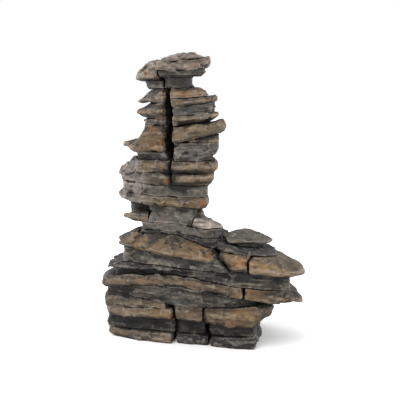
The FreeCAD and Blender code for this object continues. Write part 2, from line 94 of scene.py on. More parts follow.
def lattice(i, j, k, seed):
    """A repeatable value from 0 to 1 for each whole-numbered lattice point."""
    h = (i.astype(np.uint64) * np.uint64(HASH_X) + j.astype(np.uint64) * np.uint64(HASH_Y)
         + k.astype(np.uint64) * np.uint64(HASH_Z) + np.uint64(seed * HASH_SEED))
    for shift, factor in ((15, HASH_Z), (13, HASH_SEED)):
        h &= np.uint64(LOW_BITS)
        h = (h ^ (h >> np.uint64(shift))) * np.uint64(factor)
    h &= np.uint64(LOW_BITS)
    return ((h ^ (h >> np.uint64(16))) & np.uint64(KEPT_BITS)).astype(np.float64) / KEPT_BITS


def corner_weight(f, corner):
    """How much one corner of a cell counts at each point, from the point's place f in the cell."""
    weight = 1
    for axis, far in enumerate(corner):
        weight = weight * (f[:, axis] if far else 1 - f[:, axis])
    return weight


def value_noise(p, seed):
    """Smooth noise from -1 to 1, with features about one unit across."""
    base = np.floor(p)
    f = p - base
    f = f * f * (3 - 2 * f)
    i, j, k = (base + LATTICE_SHIFT).astype(np.int64).T
    total = 0
    for corner in CORNERS:
        a, b, c = corner
        total = total + corner_weight(f, corner) * lattice(i + a, j + b, k + c, seed)
    return 2 * total - 1


def fractal(p, size, seed, octaves):
    """Noise whose largest features are about size across. Each octave is half the last one's size."""
    total, strength, reach = 0, 1.0, 0.0
    for n in range(octaves):
        total = total + strength * value_noise(p / size, seed + OCTAVE_SEEDS * n)
        reach += strength
        size, strength = size * 0.5, strength * 0.5
    return total / reach


def facets(p, size, seed):
    """Flat-faced chips from about -1 to 1: a point takes the tilted plane of its nearest scattered centre."""
    u = p / size
    base = np.floor(u).astype(np.int64)
    nearest = np.full(len(u), np.inf)
    height = np.zeros(len(u))
    least, spread = CHIP_CENTRES
    for offset in CELLS_AROUND:
        cell = base + offset
        i, j, k = (cell + LATTICE_SHIFT).T
        jitter = np.stack([lattice(i, j, k, seed + m) for m in range(3)], 1)
        away = u - (cell + least + spread * jitter)
        distance = (away * away).sum(1)
        tilt = jitter[:, [1, 2, 0]] - 0.5
        plane = CHIP_HEIGHTS * (lattice(i, j, k, seed + 3) - 0.5) + CHIP_TILTS * (away * tilt).sum(1)
        closer = distance < nearest
        nearest = np.where(closer, distance, nearest)
        height = np.where(closer, plane, height)
    return height


def step(low, high, x):
    """0 up to low, 1 from high on, and smooth between. Low may be the larger."""
    t = np.clip((x - low) / (high - low), 0, 1)
    return t * t * (3 - 2 * t)


# ---------------------------------------------------------------- meshes

BED_STEEPNESS = 0.85  # the least upward part of a bed's normal


def coordinates(mesh):
    """A mesh's vertices, in its own unit."""
    co = np.empty(len(mesh.vertices) * 3, np.float32)
    mesh.vertices.foreach_get("co", co)
    return co.reshape(-1, 3).astype(np.float64)


def normals(mesh):
    """A mesh's vertex normals."""
    no = np.empty(len(mesh.vertices) * 3, np.float32)
    mesh.vertex_normals.foreach_get("vector", no)
    return no.reshape(-1, 3).astype(np.float64)


def set_points(mesh, points):
    """Moves a mesh's vertices to points in mm."""
    mesh.vertices.foreach_set("co", (points * MM).astype(np.float32).ravel())
    mesh.update()


def set_attribute(mesh, name, kind, values):
    """Stores a number or a colour at each vertex, for the shader."""
    attribute = mesh.attributes.new(name, kind, "POINT")
    if kind == "FLOAT_COLOR":
        values = np.c_[values, np.ones(len(values))]
        attribute.data.foreach_set("color", values.astype(np.float32).ravel())
    else:
        attribute.data.foreach_set("value", values.astype(np.float32))


def surface_of(node):
    """A search tree over a CAD node's surface, and its corners, both in mm."""
    corners = coordinates(node.data) / MM
    polygons = [tuple(p.vertices) for p in node.data.polygons]
    return BVHTree.FromPolygons([tuple(c) for c in corners], polygons), corners


def bed_normal(node):
    """The upward direction across a slate's bedding: its large flat faces' mean normal."""
    total = Vector((0, 0, 0))
    for polygon in node.data.polygons:
        n = polygon.normal
        if abs(n.z) > BED_STEEPNESS:
            total += n * (polygon.area * (1 if n.z > 0 else -1))
    return np.array(total.normalized() if total.length > 0 else (0, 0, 1))


def finished(thing):
    """A new mesh of the object with its modifiers applied."""
    bpy.context.view_layer.update()
    return bpy.data.meshes.new_from_object(thing.evaluated_get(bpy.context.evaluated_depsgraph_get()))


def remeshed(node):
    """A fine, even mesh over the CAD slate, as a new object."""
    source = bpy.data.objects.new("source", node.data.copy())
    bpy.context.scene.collection.objects.link(source)
    remesh = source.modifiers.new("remesh", "REMESH")
    remesh.mode = "VOXEL"
    remesh.voxel_size = GRAIN * MM
    mesh = finished(source)
    bpy.data.objects.remove(source)
    piece = bpy.data.objects.new(node.name + "_rock", mesh)
    bpy.context.scene.collection.objects.link(piece)
    return piece


class Rings:
    """Averages over each vertex's neighbours in a mesh."""

    def __init__(self, mesh, count):
        ends = np.empty(len(mesh.edges) * 2, np.int32)
        mesh.edges.foreach_get("vertices", ends)
        self.a, self.b = ends.reshape(-1, 2).T
        self.share = np.maximum(np.bincount(np.r_[self.a, self.b], minlength=count), 1)

    def mean(self, values):
        """The neighbours' mean at each vertex, of numbers or of vectors."""
        if values.ndim > 1:
            return np.stack([self.mean(column) for column in values.T], 1)
        size = len(self.share)
        total = np.bincount(self.a, values[self.b], size) + np.bincount(self.b, values[self.a], size)
        return total / self.share

    def smooth(self, values, times):
        """The values after being moved half way to their neighbours' mean, this many times."""
        for _ in range(times):
            values = 0.5 * values + 0.5 * self.mean(values)
        return values


# ---------------------------------------------------------------- how full the space around a point is

class Fill:
    """The share of the space around any point that the slates fill, at three distances."""

    PITCH = 1.0
    MARGIN = 27.0
    REACHES = {"close": 1, "near": 3, "wide": 8}  # half widths of the averaging boxes, in cells
    BELOW, ABOVE = -50, 400  # levels outside the pile, where the upright rays start

    def __init__(self, nodes):
        self.low = np.array(BOUNDS_AT_LOAD[0]) / MM - self.MARGIN
        high = np.array(BOUNDS_AT_LOAD[1]) / MM + self.MARGIN
        filled = np.zeros(np.ceil((high - self.low) / self.PITCH).astype(int), np.float32)
        for node in nodes.values():
            self.add(filled, node)
        filled = np.minimum(filled, 1)
        self.fields = {name: self.average(filled, cells) for name, cells in self.REACHES.items()}

    def add(self, filled, node):
        """Adds one slate's share of each cell, from a ray up and a ray down through each column of cells."""
        tree, corners = surface_of(node)
        first = np.floor((corners.min(0) - self.low) / self.PITCH).astype(int)
        last = np.ceil((corners.max(0) - self.low) / self.PITCH).astype(int)
        levels = np.arange(filled.shape[2])
        for i in range(first[0], last[0] + 1):
            for j in range(first[1], last[1] + 1):
                x, y = self.low[:2] + self.PITCH * np.array([i + 0.5, j + 0.5])
                under = tree.ray_cast(Vector((x, y, self.BELOW)), Vector((0, 0, 1)))[0]
                over = tree.ray_cast(Vector((x, y, self.ABOVE)), Vector((0, 0, -1)))[0]
                if under and over:
                    k0, k1 = (np.array([under.z, over.z]) - self.low[2]) / self.PITCH
                    a, b = int(k0), int(k1) + 1
                    overlap = np.minimum(levels[a:b] + 1, k1) - np.maximum(levels[a:b], k0)
                    filled[i, j, a:b] += np.clip(overlap, 0, 1)

    @staticmethod
    def average(filled, cells):
        """A box average, three times over, which is nearly a Gaussian."""
        width = 2 * cells + 1
        for axis in (0, 1, 2) * 3:
            pad = [(0, 0)] * 3
            pad[axis] = (cells + 1, cells)
            total = np.cumsum(np.pad(filled, pad), axis=axis, dtype=np.float64)
            ends = [slice(None)] * 3
            starts = [slice(None)] * 3
            ends[axis], starts[axis] = slice(width, None), slice(None, -width)
            filled = ((total[tuple(ends)] - total[tuple(starts)]) / width).astype(np.float32)
        return filled

    def at(self, name, points):
        """The average at each point, taken between cell centres."""
        field = self.fields[name]
        g = (points - self.low) / self.PITCH - 0.5
        g = np.clip(g, 0, np.array(field.shape) - 1.001)  # so that each point's far corner is a cell too
        base = g.astype(int)
        f = g - base
        total = 0
        for corner in CORNERS:
            i, j, k = (base + corner).T
            total = total + corner_weight(f, corner) * field[i, j, k]
        return total


# ---------------------------------------------------------------- one slate's surface
# A pair of numbers given to step is a range: where an effect starts, and where it is full.

WALL = (0.35, 0.75)  # how sideways a surface faces, from a bed to a wall
WALL_LEVEL = 0.46  # the close fill at which a faired wall lies
REACH_OUT, REACH_IN = 1.5, 0.5  # how far fairing may move a wall out and in
FAIRING_STEPS, FAIRING_SPAN, FAIRING_STRIDE, LEAST_SLOPE = 4, 0.8, 0.5, 0.1
LOOKS_AHEAD = (2.2, 3.8)  # how far before a wall the next one is looked for
SHUT = (0.4, 0.65)  # the close fill there, from an open wall to a crack's

BENDS = {  # the pile's bends: height, and size along x, y and z
    "rise": (1.25, (24, 24, 34)), "ripple": (0.55, (10, 10, 16)),
    "along": (0.9, (20, 20, 16)), "out": (0.9, (18, 22, 14)),
}
ABOVE_FOOT = (3, 16)  # the levels over which the bends set in, so that the foot stays flat

# A surface style: each kind of relief's height, and how high one layer is.
SMOOTH = {"lump": 1.1, "layer": 0.35, "layer height": 2.9, "seam": 0.25, "chip": 0.55, "grain": 0.22}
LAYERED = {"lump": 1.1, "layer": 0.8, "layer height": 2.1, "seam": 0.5, "chip": 0.75, "grain": 0.26}
ROUGH = {"lump": 1.5, "layer": 0.5, "layer height": 2.6, "seam": 0.35, "chip": 1.1, "grain": 0.34}
LUMP_SIZE, CHIP_SIZE, GRAIN_SIZE = 13, 8, 2.4
CHIP_BEND, CHIP_BEND_SIZE = 1.2, 3
LAYER_BEND, LAYER_BEND_SIZE, LAYER_PATCH, LAYER_SHIFT = 1.1, (14, 14, 20), 8, 3.7
LAYER_STEP = (0.7, 1.0)  # the share of a layer's height over which it gives way to the next
SEAM_PLACE, SEAM_WIDTH, SEAM_PATCH, SEAM_SHOWS = 0.85, 0.13, (13, 13, 7), (-0.5, 0.4)

TOUCH_PROBE, TOUCHING = 0.9, (0.5, 0.8)  # where a surface lies on a neighbour: probe distance and fill
OFF_FLOOR = (-0.2, 1.4)  # the levels over which the relief sets in
RELIEF_IN_CRACKS = 0.25
RAISED_RINGS, RAISED_UNIT = 8, 0.45  # how raised a point is: against its neighbours, in this many mm


def faces_open(p, way, fill):
    """1 for a wall with air before it, and 0 for a wall of a crack or a tight joint."""
    before = np.maximum(*(fill.at("close", p + distance * way) for distance in LOOKS_AHEAD))
    return 1 - step(*SHUT, before)


def faired(p, n, across, fill):
    """The points after each wall closes up with the slates above and below it, as in one cast stone."""
    side = n - (n @ across)[:, None] * across
    steepness = np.linalg.norm(side, axis=1)
    way = side / np.maximum(steepness, TINY)[:, None]
    weight = step(*WALL, steepness) * faces_open(p, way, fill)
    moved = np.zeros(len(p))
    for _ in range(FAIRING_STEPS):
        q = p + way * moved[:, None]
        inner, outer = fill.at("close", q - FAIRING_SPAN * way), fill.at("close", q + FAIRING_SPAN * way)
        slope = np.maximum((inner - outer) / (2 * FAIRING_SPAN), LEAST_SLOPE)
        stride = np.clip((fill.at("close", q) - WALL_LEVEL) / slope, -FAIRING_STRIDE, FAIRING_STRIDE)
        moved = np.clip(moved + stride, -REACH_IN, REACH_OUT)
    return p + way * (weight * moved)[:, None]


def warped(p):
    """A gentle bend of the whole pile, so that no bed is quite flat. It is the same for every slate."""
    bend = {name: height * value_noise(p / size, SEED[name]) for name, (height, size) in BENDS.items()}
    rise = bend["rise"] + bend["ripple"]
    return p + np.c_[bend["along"], bend["out"], rise * step(*ABOVE_FOOT, p[:, 2])]


def layers(p, n, across, style):
    """The relief of a slate's thin layers and of the seams between them, on its walls."""
    bent = p @ across + LAYER_BEND * value_noise(p / LAYER_BEND_SIZE, SEED["layer bend"])
    level = bent / style["layer height"]
    index = np.floor(level)
    inside = level - index
    here, above = (value_noise(np.c_[p[:, :2] / LAYER_PATCH, number * LAYER_SHIFT], SEED["layers"])
                   for number in (index, index + 1))
    relief = here + (above - here) * step(*LAYER_STEP, inside)
    shown = step(*SEAM_SHOWS, value_noise(p / SEAM_PATCH, SEED["seams"]))
    seam = np.exp(-((inside - SEAM_PLACE) / SEAM_WIDTH) ** 2) * shown
    sideways = 1 - np.abs(n @ across) ** 2
    return sideways * (style["layer"] * relief - style["seam"] * seam)


def chipped(p, n, across, style):
    """How far each point moves out along its normal, from lumps, chips, layers and grain."""
    flat = p * SQUASH["relief"]
    lumps = fractal(flat, LUMP_SIZE, SEED["lumps"], 2) * style["lump"]
    bend = CHIP_BEND * value_noise(p / CHIP_BEND_SIZE, SEED["chip bend"])
    chips = facets(flat + bend[:, None], CHIP_SIZE, SEED["chips"]) * style["chip"]
    grain = fractal(p * SQUASH["grain"], GRAIN_SIZE, SEED["grain"], 2)
    return lumps + chips + layers(p, n, across, style) + style["grain"] * grain


# ---------------------------------------------------------------- paint

def srgb(r, g, b):
    """A colour as seen on a screen, 0 to 255, turned into the linear values a shader takes."""
    c = np.array([r, g, b]) / 255
    return np.where(c <= 0.04045, c / 12.92, ((c + 0.055) / 1.055) ** 2.4)


class Coat:
    """A slate's paint: dark and light body colours, its rim's colour and strength, and its surface style."""

    def __init__(self, low, high, rim, rim_strength, style):
        self.low, self.high, self.rim = srgb(*low), srgb(*high), srgb(*rim)
        self.rim_strength, self.style = rim_strength, style


COATS = {
    # black: near-black paint. On the saddle, the shelf and the rock's neck, which lie under what hangs over
    # them, it is painted shade; on the feet it is their dark paint, darkened further as painted shade.
    "black": Coat((28, 27, 27), (50, 48, 47), (64, 60, 56), 0.2, LAYERED),
    # charcoal: the dark paint of the recess courses; on the shadow course, set in under the undercliff, it is
    # partly painted shade.
    "charcoal": Coat((38, 36, 35), (68, 65, 62), (88, 80, 70), 0.3, LAYERED),
    "slate": Coat((58, 54, 50), (90, 85, 78), (104, 95, 84), 0.3, LAYERED),
    "umber": Coat((60, 51, 43), (92, 78, 64), (122, 101, 79), 0.9, SMOOTH),
    "ochre": Coat((76, 66, 54), (108, 92, 74), (126, 106, 84), 0.9, SMOOTH),
    "stone": Coat((100, 91, 85), (138, 127, 119), (152, 140, 131), 0.5, ROUGH),
    "boulder": Coat((66, 56, 48), (98, 84, 70), (126, 106, 86), 0.8, ROUGH),
    "cap": Coat((84, 75, 67), (122, 110, 100), (134, 118, 103), 0.6, ROUGH),
    "splinter": Coat((96, 88, 80), (176, 166, 156), (204, 194, 184), 0.6, SMOOTH),
    "moss": Coat((66, 64, 57), (98, 94, 84), (112, 104, 92), 0.4, SMOOTH),
    "plain": Coat((78, 73, 67), (104, 98, 90), (114, 106, 97), 0.3, SMOOTH),
    "brown": Coat((50, 44, 39), (80, 70, 60), (112, 96, 79), 0.5, LAYERED),
    "rubble": Coat((64, 60, 57), (94, 88, 83), (108, 100, 92), 0.4, LAYERED),
}
SLATES = {
    "black": "foot_middle foot_right saddle_slab shelf_slab arm_rock_neck",
    "charcoal": "band_left band_middle band_right shadow_course brow_slab thin_slab",
    "slate": "grey_course arm_recess undercliff grey_block cap_under notch_stone",
    "umber": """foot_left ledge_middle ledge_right arm_under arm_under_tip cliff_slab_middle stub_slab
        stub_cap nub_slab waist_left shoulder_left ochre_chip ochre_stone left_slab_lower left_slab_upper
        wedge_slab right_slab_4 right_slab_5""",
    "brown": "upper_ledge_left cliff_slab_left",
    "ochre": "ledge_left cliff_slab_tip girdle_slab waist_right shoulder_right right_slab_3 right_slab_6",
    "stone": "cap_top",
    "boulder": "boulder_lower boulder_upper",
    "cap": "cap_front left_cap",
    "splinter": "flange_splinter",
    "moss": "arm_rock",
    "plain": "neck_front neck_rear right_neck left_neck grey_belt flange_slab",
    "rubble": "block_right",
}
COAT_OF = {name: COATS[coat] for coat, names in SLATES.items() for name in names.split()}
WARM_COATS = [COATS[coat] for coat in ("umber", "ochre", "brown")]  # those that ochre paint is brushed over

# Slates painted darker or paler than their coat: partly their own tone, and partly painted light and shade,
# set so that each slate is as bright as it looks.
DARKER_SLATES = """foot_left ledge_left ledge_middle ledge_right grey_course arm_under arm_under_tip saddle_slab
    flange_slab stub_slab girdle_slab grey_belt waist_left nub_slab boulder_upper shoulder_right ochre_stone
    right_slab_3 right_slab_5 cap_under""".split()
PALER_SLATES = """band_right shadow_course undercliff shelf_slab arm_rock_neck neck_rear thin_slab notch_stone
    left_neck right_slab_4 right_neck""".split()
TONES = {**dict.fromkeys(DARKER_SLATES, 0.76), **dict.fromkeys(PALER_SLATES, 1.4)}  # where a slate's tone isn't its coat's
TONE = 0.88  # darkens all the paint alike
PAINT_RANGE = (0.003, 0.9)  # the darkest and the palest that paint gets

RUN_ON = {  # pale stone paint runs on over these slates, from none at the first x to all of it at the second
    "girdle_slab": (-34, -42), "grey_belt": (-30, -42), "waist_left": (-34, -43), "nub_slab": (-66, -61),
    "boulder_upper": (-38, -49), "boulder_lower": (-34, -46),
}
RUST = srgb(140, 90, 44)
RUST_SPOTS = (  # where rust-orange paint shows, and how far it spreads: x, y, z and radius
    (-16, -36, 21, 5), (37.5, -38, 63, 5), (13, -38, 70, 6), (4, -21, 104, 6), (-22, -25, 121, 4),
    (-30, -24, 145, 6), (-26, -22, 149, 4), (-33, -20, 157, 4), (-9, -24, 184, 5), (-39, -13, 197, 5),
)
WARM = srgb(114, 90, 62)
WARM_SPOTS = (  # where the ochre paint is thicker: x, y, z and radius
    (40, -39, 20, 16), (-26, -36, 21, 12), (44, -37, 38, 12), (62, -36, 57, 13), (-14, -38, 65, 8),
    (-30, -36, 66, 8), (6, -40, 66, 9), (30, -38, 68, 12), (2, -38, 72, 14), (-6, -36, 72, 11),
    (-24, -33, 72, 9), (-42, -25, 74, 9), (-52, -16, 76, 9), (-58, -6, 92, 8), (6, -20, 128, 8),
    (-34, -23, 152, 11), (14, -22, 159, 9), (-40, -12, 199, 9),
)
GILT = srgb(150, 126, 88)
GILT_LINES = (  # rims that catch a paler, yellower ochre: two ends and a radius
    ((-52, -29, 19), (-15, -36, 21), 2.2), ((14, -38, 24), (46, -37, 24), 3.0),
    ((0, -35, 47), (37, -36, 41.5), 1.8), ((43, -36, 38), (68, -30, 36), 1.8),
    ((-52, -17, 74), (-38, -29, 70), 2.0), ((-38, -29, 70), (16, -38, 65.5), 2.0),
    ((46, -39, 63), (64, -34, 60), 3.0), ((-36, -24, 104), (2, -24, 103), 2.5),
    ((-8, -25, 130), (12, -13, 130), 2.0), ((-4, -26, 159), (16, -14, 163), 2.0),
    ((-15, -23, 184.5), (3, -20, 186), 1.8),
)
CREVICES_AND_LEDGE_SHADOWS = (  # dark paint along cracks, and painted shadows along the undersides of ledges: two ends and a radius
    ((-14, -36, 2), (-12, -36, 20), 2.0), ((13, -35, 1), (8.5, -35, 26), 1.8),
    ((17, -38.5, 73), (28, -37, 58), 3.0), ((-18, -23, 116), (-9, -23, 115), 3.0),
    ((-8, -25.5, 117.5), (9, -18, 116.8), 1.8), ((-17, -24.5, 124), (-17, -24.5, 119), 2.4),
    ((-16, -25.5, 126), (13, -16, 125.6), 1.8), ((-22, -22.5, 127.2), (-17, -25, 127.2), 2.8),
    ((-19.5, -24, 133), (-19, -24, 129), 2.2), ((2, -22, 151), (16, -11, 153.5), 1.7),
    ((-8, -25, 160.5), (17, -12, 165.5), 1.7),
)
# the near-black of the dark washes, the painted shade and the painted shadows
SHADE = srgb(24, 23, 23)
DUST = srgb(160, 148, 135)

SUNK_PROBE, CRACK_PROBE, OVERHEAD_PROBE, SHELTER_PROBE = 1.5, 1.3, 2.5, 9.0  # how far out the fill is read
OVERHEAD = 4  # and how far above that, for what hangs over a point
STRIATIONS = np.array([[0.87, 0, 0.14], [0, 0.5, 0], [-0.5, 0, 0.25]])  # turns noise into slanting grooves
STRIATION_SIZE, GROOVE_DEPTH = 2.2, 0.4
SPLINTER_GRAIN, STREAK_SIZE = (4, 4, 0.9), (9, 9, 1.6)  # along the bed, and across it
PATCH_SIZE, MOTTLE_SIZE, BLOTCH_SIZE, HUE_SIZE, COOL_SIZE = 10, 3.2, (26, 26, 12), 15, 9
BODY_PATCHES = (-0.5, 0.5)  # from the dark body colour to the light one
HUE_SHIFT, MOTTLE_SHIFT = 0.05, 0.2
TOP_SHADE, FACES_UP = 0.3, (0.25, 0.7)  # how much darker tops are painted, as painted shade, and what counts as a top
RIM_OPEN, RIM_UPRIGHT, RIM_BLOTCH = (0.42, 0.3), (0.45, 0.85), (-0.8, 0.2)
# Paint is brushed on from the front, where a surface is open enough and faces the brush.
BRUSH_OPEN, BRUSH_WAY, BRUSH_FACES = (0.52, 0.36), (0, -0.8, 0.2), (-0.9, 0.1)
WARM_SHOWS, WARM_STRENGTH = (0.2, 0.8), 0.7
GILT_SHOWS, GILT_STRENGTH = (-0.6, 0.3), 0.6
RUST_SHOWS, RUST_STRENGTH = (0.3, 1.0), 0.55
# Dark paint in hollows, cracks and small dents is partly real dark washes and partly painted shade; under
# what hangs overhead and on faces that look down it is painted shade.
WASHES_AND_SHADES = (  # what the dark washes and painted shade depend on, the range over which each sets in, and its strength
    ("sunk", (0.33, 0.62), 0.9), ("crack", (0.3, 0.62), 0.8), ("overhead", (0.2, 0.6), 0.7),
    ("sheltered", (0.12, 0.5), 0.35), ("up", (-0.3, -0.85), 0.55), ("raised", (0.0, -0.5), 0.4),
)
# How much patchy noise and the crack and ledge-shadow lines add to the dark washes and painted shade, how far
# the lines darken, and where and how strongly the washes and shade show.
PATCHY_WASH_AND_SHADE, CREVICE_WASH_AND_SHADE, CREVICE_SHADE = 0.25, 1.3, 0.7
WASH_AND_SHADE_SHOWS, WASH_AND_SHADE_STRENGTH = (0.05, 1.05), 0.78
DUST_CATCH, DUST_FACES, DUST_STREAKS = (0.15, 0.65), (-0.2, 0.6), (-0.35, 0.35)
DUST_STRENGTH, DUST_ON_LAYERS = 0.45, 0.6


def spots(p, places):
    """1 at the middle of each spot, and less away from it."""
    near = np.zeros(len(p))
    for x, y, z, radius in places:
        near = np.maximum(near, np.exp(-(((p - [x, y, z]) / radius) ** 2).sum(1)))
    return near


def lines(p, places):
    """1 on each line, and less away from it."""
    near = np.zeros(len(p))
    for start, end, radius in places:
        start, run = np.array(start), np.subtract(end, start)
        share = np.clip((p - start) @ run / (run @ run), 0, 1)
        away = np.linalg.norm(p - start - share[:, None] * run, axis=1)
        near = np.maximum(near, np.exp(-(away / radius) ** 2))
    return near


def mixed(colour, other, amount):
    """The colours, with this much of another one laid over them."""
    return colour + (other - colour) * amount[:, None]


class Site:
    """What each vertex's paint depends on: its place, the way it faces, the stone around it, and noise."""

    def __init__(self, p, n, fill, raised, across):
        self.p, self.n, self.up, self.raised = p, n, n[:, 2], raised
        self.along_bed = p @ (np.eye(3) + np.outer(across - UP, UP))
        self.sunk = fill.at("near", p + SUNK_PROBE * n)
        self.crack = fill.at("close", p + CRACK_PROBE * n)
        self.overhead = fill.at("near", p + OVERHEAD_PROBE * n + OVERHEAD * UP)
        self.sheltered = fill.at("wide", p + SHELTER_PROBE * n + OVERHEAD * UP)
        self.patch = fractal(p * SQUASH["patch"], PATCH_SIZE, SEED["patch"], 3)
        self.mottle = fractal(p * SQUASH["mottle"], MOTTLE_SIZE, SEED["mottle"], 2)


def stone_share(name, site):
    """How far the pale stone paint covers a slate at each vertex."""
    if name not in RUN_ON:
        return np.full(len(site.p), float(COAT_OF[name] is COATS["stone"]))
    none, full = RUN_ON[name]
    return step(none, full, site.p[:, 0] + abs(none - full) * site.patch)


def body_paint(coat, stone, site):
    """The slate's patchy body colour, with grooves, tops darkened as painted shade, and a brighter rim."""
    low, high, rim, strength = (own + (other - own) * stone[:, None] for own, other in (
        (coat.low, COATS["stone"].low), (coat.high, COATS["stone"].high), (coat.rim, COATS["stone"].rim),
        (coat.rim_strength, COATS["stone"].rim_strength)))
    colour = low + (high - low) * step(*BODY_PATCHES, site.patch + 0.3 * site.mottle)[:, None]
    if coat is COATS["splinter"]:
        grooves = fractal(site.along_bed / SPLINTER_GRAIN, 1, SEED["splinter"], 2)
    else:
        grooves = stone * fractal(site.p @ STRIATIONS, STRIATION_SIZE, SEED["striations"], 2)
    colour = colour * (1 + GROOVE_DEPTH * grooves)[:, None]
    # painted shade: faces that look up are painted darker
    colour = colour * (1 - TOP_SHADE * step(*FACES_UP, site.up))[:, None]
    blotch = site.patch + 0.6 * value_noise(site.p / BLOTCH_SIZE, SEED["blotch"])
    shown = step(*RIM_OPEN, site.sunk) * step(*RIM_UPRIGHT, 1 - np.abs(site.up)) * step(*RIM_BLOTCH, blotch)
    return colour + (rim - colour) * strength * shown[:, None]


def brushed(colour, coat, stone, site):
    """The colours, with ochre, gilt and rust brushed on from the front."""
    reached = step(*BRUSH_OPEN, site.sunk) * step(*BRUSH_FACES, site.n @ BRUSH_WAY)
    if coat in WARM_COATS:
        thick = spots(site.p, WARM_SPOTS) + 0.2 * site.mottle + 0.15 * site.patch
        colour = mixed(colour, WARM, step(*WARM_SHOWS, thick) * reached * WARM_STRENGTH * (1 - stone))
        gilt = lines(site.p, GILT_LINES) * step(*GILT_SHOWS, site.mottle) * reached
        colour = mixed(colour, GILT, gilt * (1 - stone) * GILT_STRENGTH)
    rust = step(*RUST_SHOWS, spots(site.p, RUST_SPOTS) + 0.25 * site.mottle)
    return mixed(colour, RUST, rust * reached * RUST_STRENGTH)


def varied(colour, site):
    """The colours, a little warmer, cooler, paler or darker from place to place."""
    hue = HUE_SHIFT * value_noise(site.p / HUE_SIZE, SEED["hue"])
    cool = HUE_SHIFT * value_noise(site.p / COOL_SIZE, SEED["cool"])
    colour = colour * np.c_[1 + hue - cool, 1 - 0.4 * hue + 0.3 * cool, 1 - hue + cool]
    return colour * (1 + MOTTLE_SHIFT * site.mottle)[:, None]


def washed_and_shaded(site, crevice_and_ledge_shadow):
    """How much dark paint lies at each vertex: washes and painted shade in hollows and cracks, and
    painted shade under ledges and on undersides.
    """
    wash_and_shade = sum(strength * step(*shows, getattr(site, name)) for name, shows, strength in WASHES_AND_SHADES)
    return np.clip(wash_and_shade + CREVICE_WASH_AND_SHADE * crevice_and_ledge_shadow + PATCHY_WASH_AND_SHADE * site.patch, 0, 1)


def dusted(coat, wash_and_shade, site):
    """How much pale dry brush lies at each vertex: on raised edges, in streaks along the bed."""
    catch = step(*DUST_CATCH, site.raised + 0.15 * site.mottle + 0.12 * step(*DUST_FACES, site.up))
    streaks = step(*DUST_STREAKS, fractal(site.along_bed / STREAK_SIZE, 1, SEED["streak"], 2))
    return DUST_STRENGTH * catch * (1 - wash_and_shade) * streaks * (DUST_ON_LAYERS if coat.style is LAYERED else 1)


def painted(name, site):
    """Each vertex's finished colour, and the amount of dark washes and painted shade on it."""
    coat, stone = COAT_OF[name], stone_share(name, site)
    colour = varied(brushed(body_paint(coat, stone, site), coat, stone, site), site)
    crevice_and_ledge_shadow = lines(site.p, CREVICES_AND_LEDGE_SHADOWS)
    wash_and_shade = washed_and_shaded(site, crevice_and_ledge_shadow)
    # dark washes and painted shade, then darker cracks and painted ledge shadows
    colour = mixed(colour, SHADE, WASH_AND_SHADE_STRENGTH * step(*WASH_AND_SHADE_SHOWS, wash_and_shade))
    colour = colour * (1 - CREVICE_SHADE * crevice_and_ledge_shadow)[:, None]
    colour = mixed(colour, DUST, dusted(coat, wash_and_shade, site))
    return np.clip(TONE * TONES.get(name, 1) * colour, *PAINT_RANGE), wash_and_shade


# ---------------------------------------------------------------- one slate

def rock(node, fill):
    """The visual slate that stands for one CAD slate."""
    piece = remeshed(node)
    mesh = piece.data
    tree, _ = surface_of(node)
    p = coordinates(mesh) / MM
    p = np.array([tree.find_nearest(Vector(q))[0] for q in p])
    set_points(mesh, p)
    across = bed_normal(node)
    rings = Rings(mesh, len(p))
    p = faired(p, rings.smooth(normals(mesh), 2), across, fill)
    set_points(mesh, p)
    n = rings.smooth(normals(mesh), 1)
    n = n / np.maximum(np.linalg.norm(n, axis=1), TINY)[:, None]
    free = 1 - step(*TOUCHING, fill.at("close", p + TOUCH_PROBE * n))
    free = free * step(*OFF_FLOOR, p[:, 2])
    free = free * (RELIEF_IN_CRACKS + (1 - RELIEF_IN_CRACKS) * faces_open(p, n, fill))
    relief = free * chipped(p, n, across, COAT_OF[node.name].style)
    moved = p + n * relief[:, None]
    set_points(mesh, warped(moved))
    n = normals(mesh)
    raised = ((moved - rings.smooth(moved, RAISED_RINGS)) * n).sum(1) / RAISED_UNIT
    raised = rings.smooth(raised, 1)
    colour, wash_and_shade = painted(node.name, Site(moved, n, fill, raised, across))
    set_attribute(mesh, "paint", "FLOAT_COLOR", colour)
    set_attribute(mesh, "edge", "FLOAT", np.clip(0.5 + 0.5 * raised, 0, 1))
    # the dark washes and painted shade, which the shader keeps worn edges out of
    set_attribute(mesh, "wash_and_shade_paint", "FLOAT", wash_and_shade)
    mesh.polygons.foreach_set("use_smooth", np.ones(len(mesh.polygons), bool))
    flatten = piece.modifiers.new("flatten", "DECIMATE")
    flatten.decimate_type = "DISSOLVE"
    flatten.angle_limit = FLAT_ANGLE
    piece.modifiers.new("split", "TRIANGULATE")
    done = finished(piece)
    piece.modifiers.clear()
    piece.data = done
    bpy.data.meshes.remove(mesh)
    return piece


# ---------------------------------------------------------------- shader

ROUGHNESS, GLOSS = 0.72, 0.3
PATCHES, STREAKS, SPECKLE = 190, 150, 1100  # features per metre
NOISE_ROUGHNESS = 0.55
MIDDLE = (0.3, 0.7)  # the part of a noise's values that a ramp spreads out
# the near-black laid into small hollows in patches, and the pale of worn edges
PIT_DARK = (0.016, 0.015, 0.014, 1)
WORN = (0.30, 0.26, 0.22, 1)
PIT_DARK_STRENGTH, WORN_STRENGTH = 0.6, 0.3
BUMP_STRENGTH, BUMP_DEPTH = 0.5, 0.0005


